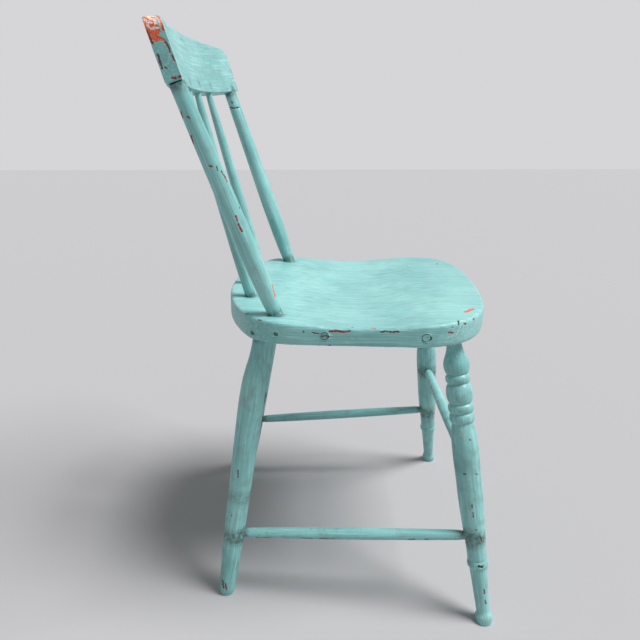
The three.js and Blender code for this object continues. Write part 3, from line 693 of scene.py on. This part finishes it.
COATS = {
    FLAME: tone(240, 112, 72),
    OXIDE: tone(152, 62, 54),
    BROWN: tone(104, 74, 62),
    CREAM: tone(240, 232, 220),
    # The hole colour is no coat: it is a painted shade, near black, for the inside of holes and cracks.
    HOLE_SHADE: tone(40, 46, 46),
    # The pale colour is no coat: it is a painted highlight along raised ridges and lips of cracked paint.
    PALE_HIGHLIGHT: tone(176, 218, 214),
}
FILM = {FLAME: 0.35, OXIDE: 0.35, BROWN: 0.25, CREAM: 0.2, HOLE_SHADE: 1.0, PALE_HIGHLIGHT: -0.45}


# %% [markdown]
# The photograph doesn't show the far side, the back and the underside. They carry a few
# smaller chips of the same kinds, strewn by chance along the wood, so that the chair looks
# equally old from everywhere.

# %% Strew chips over the unseen sides
STREWN = {"seat": 26, "crest_rail": 16, "front_leg_right": 8, "front_leg_left": 16, "back_leg_right": 8,
          "back_leg_left": 14, "back_post_right": 8, "back_post_left": 10}
VIEWER = Vector((-927.3, 35.7, 702.0))


def unseen_chips(name, piece):
    """Short chips at chance places that face away from the photograph's viewer."""
    chance = random.Random("chips of " + name)
    line = {**LEG_LINES, **STRETCHER_LINES, **POST_LINES, **SPINDLE_LINES}.get(name)
    wood = (Vector(line[1]) - Vector(line[0])).normalized() if line else Vector((0, 1, 0))
    if name == "crest_rail":
        wood = Vector((1, 0, 0))
    corners, normals = places_of(piece), normals_of(piece)
    chips = []
    for _ in range(4000):
        if len(chips) >= STREWN.get(name, 5) or name.startswith(("edge", "nail")):
            break
        pick = chance.randrange(len(corners))
        place, normal = Vector(corners[pick]), Vector(normals[pick])
        if normal.dot((VIEWER - place).normalized()) > -0.12 or place.z < 6:
            continue
        if name == "seat" and (normal.z > 0.9 or normal.z < -0.5):
            continue
        coat = chance.choice([OXIDE, OXIDE, BROWN, BROWN, FLAME])
        reach = chance.uniform(1.0, 9.0) if coat != BROWN else chance.uniform(0.5, 6.0)
        way = (wood + Vector([chance.uniform(-0.25, 0.25) for _ in range(3)])).normalized()
        chips.append((coat, chance.uniform(0.7, 1.7), [tuple(place), tuple(place + way * reach)]))
    return chips


# %% Cut finer near the chips, then sink them
def places_of(piece):
    places = np.empty(len(piece.data.vertices) * 3)
    piece.data.vertices.foreach_get("co", places)
    return places.reshape(-1, 3) / MM


def normals_of(piece):
    normals = np.empty(len(piece.data.vertices) * 3)
    piece.data.vertex_normals.foreach_get("vector", normals)
    return normals.reshape(-1, 3)


def distance_to(points, line):
    """Distance in mm of every point from a run of straight lines."""
    best = np.full(len(points), 1e9)
    line = [np.array(p, float) for p in line]
    for a, b in zip(line, line[1:] or line):
        along = b - a
        share = np.clip(((points - a) @ along) / max(along @ along, 1e-9), 0, 1)
        best = np.minimum(best, np.linalg.norm(points - a - share[:, None] * along, axis=1))
    return best


def laid_on(piece, line):
    """The line moved onto the piece's surface, with a point every few millimetres."""
    path = [Vector(line[0])]
    for a, b in zip(line, line[1:]):
        a, b = Vector(a), Vector(b)
        count = max(1, round((b - a).length / 3))
        path += [a.lerp(b, (i + 1) / count) for i in range(count)]
    return [tuple(piece.closest_point_on_mesh(p * MM)[1] / MM) for p in path]


def refine_near(piece, chips, cuts):
    deselect_everything()
    piece.select_set(True)
    bpy.context.view_layer.objects.active = piece
    centres = np.array([p.center for p in piece.data.polygons]) / MM
    near = np.zeros(len(centres), bool)
    for _, width, line in chips:
        near |= distance_to(centres, line) < width + 3.0
    bpy.ops.object.mode_set(mode="EDIT")
    bpy.ops.mesh.select_mode(type="FACE")
    bpy.ops.mesh.select_all(action="DESELECT")
    bpy.ops.object.mode_set(mode="OBJECT")
    piece.data.polygons.foreach_set("select", near)
    bpy.ops.object.mode_set(mode="EDIT")
    bpy.ops.mesh.subdivide(number_cuts=cuts)
    bpy.ops.object.mode_set(mode="OBJECT")


def sink_over_plugs(name, piece):
    """Opens round holes in the seat's edge over the dowels and the nails."""
    if name != "seat":
        return
    plugs = [(line, 5.3, 2.4) for line in DOWEL_LINES.values()] + [(line, 2.45, 3.0) for line in NAIL_LINES.values()]
    for line, radius, deep in plugs:
        mouth = [(OXIDE, radius, [line[0]])]
        refine_near(piece, mouth, 4)
        foot, way = np.array(line[0]), np.array((Vector(line[1]) - Vector(line[0])).normalized())
        points = places_of(piece)
        off = points - foot
        along = off @ way
        out = np.linalg.norm(off - along[:, None] * way, axis=1)
        share = np.clip((radius + 0.25 - out) / 0.5, 0, 1)
        share[(along > 12) | (along < -8)] = 0
        lip = 0.35 * np.exp(-((out - radius - 0.9) / 0.7) ** 2)
        lip[(along > 12) | (along < -8)] = 0
        points += way * (deep * share - lip)[:, None]
        piece.data.vertices.foreach_set("co", (points * MM).ravel())
    piece.data.update()


def roughen(piece):
    """Small waves of many coats of brushed paint, stronger on the sharp edges of the boards."""
    boards = piece.name.startswith(("seat", "top_rail"))
    height = 0.22 if boards else 0.12
    points, normals = places_of(piece), normals_of(piece)
    for place, normal in zip(points, normals):
        spot = Vector(place)
        push = height * (noise.noise(spot * 0.045) + 0.5 * noise.noise(spot * 0.14)) - 0.12
        if boards and 0.25 < abs(normal[2]) < 0.93:
            push += 0.45 * noise.noise(spot * 0.11) + 0.3 * noise.noise(spot * 0.33) - 0.15
        place += normal * push
    piece.data.vertices.foreach_set("co", (points * MM).ravel())
    piece.data.update()


JOINTS = [(Vector(line[0]), 10.5) for line in POST_LINES.values()] + [(Vector(line[1]), 11.0) for line in POST_LINES.values()]
JOINTS += [(Vector(line[0]), 7.8) for line in SPINDLE_LINES.values()] + [(Vector(line[1]), 5.2) for line in SPINDLE_LINES.values()]
JOINTS += [(Vector(line[1]), 10.0) for line in LEG_LINES.values()]
JOINTS += [(Vector(line[end]), 17.0) for line in STRETCHER_LINES.values() for end in (0, 1)]


def gather_grime_and_shade(name, piece):
    """Keeps how close each point is to a joint, where dust and old paint gather; it also puts a painted shade in a thin
    ring round the mouth of each dowel and nail hole in the seat, and darkens the nails all over.
    """
    points = places_of(piece)
    grime_and_shade = np.zeros(len(points))
    for place, reach in JOINTS:
        out = np.linalg.norm(points - np.array(place), axis=1) - reach
        grime_and_shade = np.maximum(grime_and_shade, np.clip(1 - out / 8.0, 0, 1) ** 2)
    # Painted shade: a thin dark ring round the mouth of each dowel and nail hole, where the hole's lip casts its shade.
    if name == "seat":
        for line in [*DOWEL_LINES.values(), *NAIL_LINES.values()]:
            radius = 5.3 if line in DOWEL_LINES.values() else 2.4
            out = np.abs(np.linalg.norm(points - np.array(line[0]), axis=1) - radius)
            grime_and_shade = np.maximum(grime_and_shade, np.clip(1 - out / 1.1, 0, 1))
    # The nails are darkened all over.
    if name.startswith("nail"):
        grime_and_shade[:] = 0.7
    piece.data.attributes.new("grime_and_shade", "FLOAT", "POINT").data.foreach_set("value", grime_and_shade.astype(np.float32))


def chip_paint(piece, chips):
    points = places_of(piece)
    depth = np.full(len(points), -3.0)
    under = np.tile(np.array(COATS[OXIDE]), (len(points), 1))
    sink = np.zeros(len(points))
    ragged = np.array([noise.noise(Vector(p) * 0.55) + 0.6 * noise.noise(Vector(p) * 1.3) for p in points])
    for coat, width, line in chips:
        inside = width - distance_to(points, line) + 1.05 * ragged * min(width, 2.5) / 1.6
        wins = (inside > depth) | (inside > 0)
        depth[wins] = np.maximum(depth, inside)[wins]
        under[wins] = COATS[coat]
        sink[wins] = FILM[coat]
        if coat == CREAM:
            blotch = wins & (np.array([noise.noise(Vector(p) * 0.32) for p in points]) > 0.16)
            under[blotch] = COATS[FLAME]
    depth = np.clip(depth, -3, 3)
    normals = normals_of(piece)
    step = np.clip(depth / 0.35 + 0.5, 0, 1)
    points -= normals * (sink * step)[:, None]
    piece.data.vertices.foreach_set("co", (points * MM).ravel())
    piece.data.attributes.new("chip", "FLOAT", "POINT").data.foreach_set("value", depth.astype(np.float32))
    colours = piece.data.attributes.new("under", "FLOAT_COLOR", "POINT")
    colours.data.foreach_set("color", under.astype(np.float32).ravel())
    piece.data.update()


for name, piece in PIECES.items():
    chips = CHIPS.get(name, []) + unseen_chips(name, piece)
    chips = [(coat, width, laid_on(piece, line)) for coat, width, line in chips]
    if chips:
        refine_near(piece, chips, 3 if name in ("seat", "crest_rail") else 2)
    sink_over_plugs(name, piece)
    roughen(piece)
    chip_paint(piece, chips)
    gather_grime_and_shade(name, piece)
print("faces with chips cut:", sum(len(p.data.polygons) for p in PIECES.values()))

# %% [markdown]
# ## Old teal paint
#
# The top coat is a satin teal, brushed along the wood. It is a little uneven in colour, has
# fine brush lines, holds dust where pieces meet, and carries a painted shade in thin rings
# round the dowel and nail holes. Chips use the attributes made above: a threshold with fine
# noise gives each one a crisp, torn edge, and a thin dark line beside it is the shadow under
# the lifted film.

# %% Build the paint
TEAL = tone(146, 205, 203)
TEAL_DEEP = tone(122, 184, 184)


def link(tree, a, b):
    tree.links.new(a, b)


def add(tree, kind, **settings):
    node = tree.nodes.new(kind)
    for key, value in settings.items():
        setattr(node, key, value)
    return node


def old_paint(name, body, shade, dirt, rough=0.38):
    """Brushed paint with chips, where dirt runs from 0 for wiped clean to 1 for dusty."""
    material = bpy.data.materials.new(name)
    material.use_nodes = True
    tree = material.node_tree
    tree.nodes.clear()
    out = add(tree, "ShaderNodeOutputMaterial")
    surface = add(tree, "ShaderNodeBsdfPrincipled")
    surface.inputs["Specular IOR Level"].default_value = 0.45
    link(tree, surface.outputs["BSDF"], out.inputs["Surface"])
    grain = add(tree, "ShaderNodeAttribute", attribute_name="grain")
    stretch = add(tree, "ShaderNodeMapping")
    stretch.inputs["Scale"].default_value = (1.0, 1.0, 0.035)
    link(tree, grain.outputs["Vector"], stretch.inputs["Vector"])

    def cloud(scale, detail, source=grain.outputs["Vector"]):
        node = add(tree, "ShaderNodeTexNoise")
        node.inputs["Scale"].default_value = scale
        node.inputs["Detail"].default_value = detail
        link(tree, source, node.inputs["Vector"])
        return node.outputs["Fac"]

    def spread(value, low, high, to_low=0.0, to_high=1.0):
        node = add(tree, "ShaderNodeMapRange")
        node.inputs["From Min"].default_value = low
        node.inputs["From Max"].default_value = high
        node.inputs["To Min"].default_value = to_low
        node.inputs["To Max"].default_value = to_high
        link(tree, value, node.inputs["Value"])
        return node.outputs["Result"]

    def blend(amount, first, second, kind="MIX"):
        node = add(tree, "ShaderNodeMix", data_type="RGBA", blend_type=kind)
        link(tree, amount, node.inputs["Factor"])
        for socket, value in ((node.inputs["A"], first), (node.inputs["B"], second)):
            if isinstance(value, tuple):
                socket.default_value = value
            else:
                link(tree, value, socket)
        return node.outputs["Result"]

    def combine(operation, first, second):
        node = add(tree, "ShaderNodeMath", operation=operation)
        for socket, value in zip(node.inputs, (first, second)):
            if isinstance(value, (int, float)):
                socket.default_value = value
            else:
                link(tree, value, socket)
        return node.outputs["Value"]

    # Slow changes of tone, brush lines along the wood, dust, and painted shade round the dowel and nail holes
    colour = blend(spread(cloud(9.0, 5), 0.38, 0.64), body, shade)
    lines = cloud(430.0, 4, stretch.outputs["Vector"])
    broad = cloud(110.0, 4, stretch.outputs["Vector"])
    colour = blend(spread(lines, 0.52, 0.72, 0.0, 0.5), colour, tone(104, 156, 154))
    colour = blend(spread(broad, 0.5, 0.72, 0.0, 0.35), colour, tone(116, 170, 168))
    colour = blend(spread(lines, 0.46, 0.3, 0.0, 0.5), colour, tone(184, 228, 226))
    dust = cloud(60.0, 7)
    colour = blend(spread(dust, 0.5, 0.72, 0.0, 0.1 + 0.4 * dirt), colour, tone(118, 140, 130))
    where = spread(cloud(26.0, 3), 0.5, 0.62, 0.05, 0.95)
    fleck = combine("MULTIPLY", spread(cloud(520.0, 2), 0.66, 0.69), where)
    colour = blend(combine("MULTIPLY", fleck, 0.3 + 0.5 * dirt), colour, tone(84, 84, 76))
    # Darker tone from the point attribute made for joints and holes: dust and old paint at the joints, painted shade in
    # thin rings round the dowel and nail holes, and a darkening over the nails.
    grime_and_shade = add(tree, "ShaderNodeAttribute", attribute_name="grime_and_shade")
    grime_and_shade_amount = combine("MULTIPLY", grime_and_shade.outputs["Fac"], spread(cloud(190.0, 4), 0.3, 0.62, 0.25, 0.85))
    colour = blend(grime_and_shade_amount, colour, tone(66, 88, 84))

    # Chips
    chip = add(tree, "ShaderNodeAttribute", attribute_name="chip")
    under = add(tree, "ShaderNodeAttribute", attribute_name="under")
    shake = combine("MULTIPLY", combine("SUBTRACT", cloud(950.0, 3), 0.5), 1.8)
    shake = combine("ADD", shake, combine("MULTIPLY", combine("SUBTRACT", cloud(330.0, 2), 0.5), 1.6))
    torn = combine("ADD", chip.outputs["Fac"], shake)
    bare = spread(torn, -0.06, 0.1)
    rim = combine("MULTIPLY", spread(torn, -0.45, -0.05), combine("SUBTRACT", 1.0, bare))
    colour = blend(combine("MULTIPLY", rim, 0.35), colour, tone(96, 112, 104))
    coat = blend(spread(cloud(420.0, 4), 0.45, 0.7, 0.0, 0.7), under.outputs["Color"], tone(170, 120, 110), "MULTIPLY")
    colour = blend(bare, colour, coat)
    link(tree, colour, surface.inputs["Base Color"])

    shine = combine("ADD", spread(cloud(45.0, 4), 0.3, 0.7, rough - 0.05, rough + 0.1), combine("MULTIPLY", bare, 0.3))
    link(tree, shine, surface.inputs["Roughness"])

    # Relief: brush lines, orange peel and the edge of the paint film
    height = combine("MULTIPLY", lines, 0.35)
    height = combine("ADD", height, combine("MULTIPLY", cloud(160.0, 4), 0.5))
    height = combine("SUBTRACT", height, combine("MULTIPLY", bare, 0.9))
    relief = add(tree, "ShaderNodeBump")
    relief.inputs["Strength"].default_value = 0.55
    relief.inputs["Distance"].default_value = 0.0009
    link(tree, height, relief.inputs["Height"])
    link(tree, relief.outputs["Normal"], surface.inputs["Normal"])
    return material


PAINTS = {
    "paint_seat": old_paint("teal paint of the seat", TEAL, TEAL_DEEP, dirt=0.15),
    "paint_back": old_paint("teal paint of the back", TEAL, TEAL_DEEP, dirt=0.45),
    "paint_legs": old_paint("teal paint of the legs", TEAL, TEAL_DEEP, dirt=0.9),
    "painted_dowel": old_paint("teal paint over the dowels", TEAL, TEAL_DEEP, dirt=0.6),
    "painted_nail": old_paint("teal paint over the nails", TEAL, TEAL_DEEP, dirt=1.0),
}
print("paints:", list(PAINTS))

# %% [markdown]
# ## Put the paint on and tie the pieces to the chair
#
# Every piece stands for one imported node, rides on the chair's only body, and takes the paint of its material slot in
# the record.

# %% Paint and tie
SLOTS = {m["node"]: m["material_slot"] for m in frame["record"]["subparts"]}
for name, piece in PIECES.items():
    deselect_everything()
    piece.select_set(True)
    bpy.context.view_layer.objects.active = piece
    bpy.ops.object.shade_smooth_by_angle(angle=math.radians(40))
    piece.data.materials.clear()
    piece.data.materials.append(PAINTS[SLOTS[name]])
    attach(piece, "root")
    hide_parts(name)
print("painted pieces:", len(PIECES))

# %% [markdown]
# ## The studio
#
# A plain pale floor, one large soft lamp high in front of the chair, and a weak light from
# all round. The camera stands on the chair's right side, a little above the seat, as in the
# photograph.

# %% Floor, light and camera
deselect_everything()
bpy.ops.mesh.primitive_plane_add(size=14, location=(0, 0, 0))
floor = bpy.context.object
floor.name = "studio_floor"
floor_paint = bpy.data.materials.new("pale floor")
floor_paint.use_nodes = True
floor_paint.node_tree.nodes["Principled BSDF"].inputs["Base Color"].default_value = tone(178, 177, 179)
floor_paint.node_tree.nodes["Principled BSDF"].inputs["Roughness"].default_value = 0.9
floor.data.materials.append(floor_paint)

world = bpy.data.worlds.new("studio air")
bpy.context.scene.world = world
world.use_nodes = True
air = world.node_tree
air.nodes.clear()
air_out = air.nodes.new("ShaderNodeOutputWorld")
ambient = air.nodes.new("ShaderNodeBackground")
ambient.inputs["Color"].default_value = (1, 1, 1, 1)
ambient.inputs["Strength"].default_value = 0.3
backdrop = air.nodes.new("ShaderNodeBackground")
backdrop.inputs["Color"].default_value = tone(214, 213, 215)
backdrop.inputs["Strength"].default_value = 1.0
seen = air.nodes.new("ShaderNodeLightPath")
choose = air.nodes.new("ShaderNodeMixShader")
either = air.nodes.new("ShaderNodeMath")
either.operation = "MAXIMUM"
air.links.new(seen.outputs["Is Camera Ray"], either.inputs[0])
air.links.new(seen.outputs["Is Glossy Ray"], either.inputs[1])
air.links.new(either.outputs["Value"], choose.inputs["Fac"])
air.links.new(ambient.outputs["Background"], choose.inputs[1])
air.links.new(backdrop.outputs["Background"], choose.inputs[2])
air.links.new(choose.outputs["Shader"], air_out.inputs["Surface"])


deselect_everything()
bpy.ops.object.light_add(type="SUN", location=(-0.1, -1.0, 2.0))
key = bpy.context.object
key.name = "wide_ceiling_lamp"
key.data.energy = 3.7
key.data.angle = math.radians(28)
key.rotation_euler = Vector((0.09, 0.5, -0.86)).to_track_quat("-Z", "Y").to_euler()

CAMERA_PLACE = Vector((-927.3, 35.7, 702.0)) * MM
YAW, PITCH, ROLL = math.radians(2.85), math.radians(18.10), math.radians(-0.343)
FOCAL_IN_PICTURE_WIDTHS = 608.0 / 640.0
forward = Vector((math.cos(PITCH) * math.cos(YAW), math.cos(PITCH) * math.sin(YAW), -math.sin(PITCH)))
level = forward.cross(Vector((0, 0, 1))).normalized()
upward = level.cross(forward)
right = math.cos(ROLL) * level + math.sin(ROLL) * upward
up = -math.sin(ROLL) * level + math.cos(ROLL) * upward
bpy.ops.object.camera_add(location=CAMERA_PLACE)
camera = bpy.context.object
camera.rotation_euler = Matrix((right, up, -forward)).transposed().to_euler()
camera.data.sensor_width = 36.0
camera.data.lens = 36.0 * FOCAL_IN_PICTURE_WIDTHS
camera.data.shift_x = 0.0642
camera.data.shift_y = -0.0147
bpy.context.scene.camera = camera
bpy.context.scene.view_settings.view_transform = "Standard"
print("camera lens in mm:", round(camera.data.lens, 1))
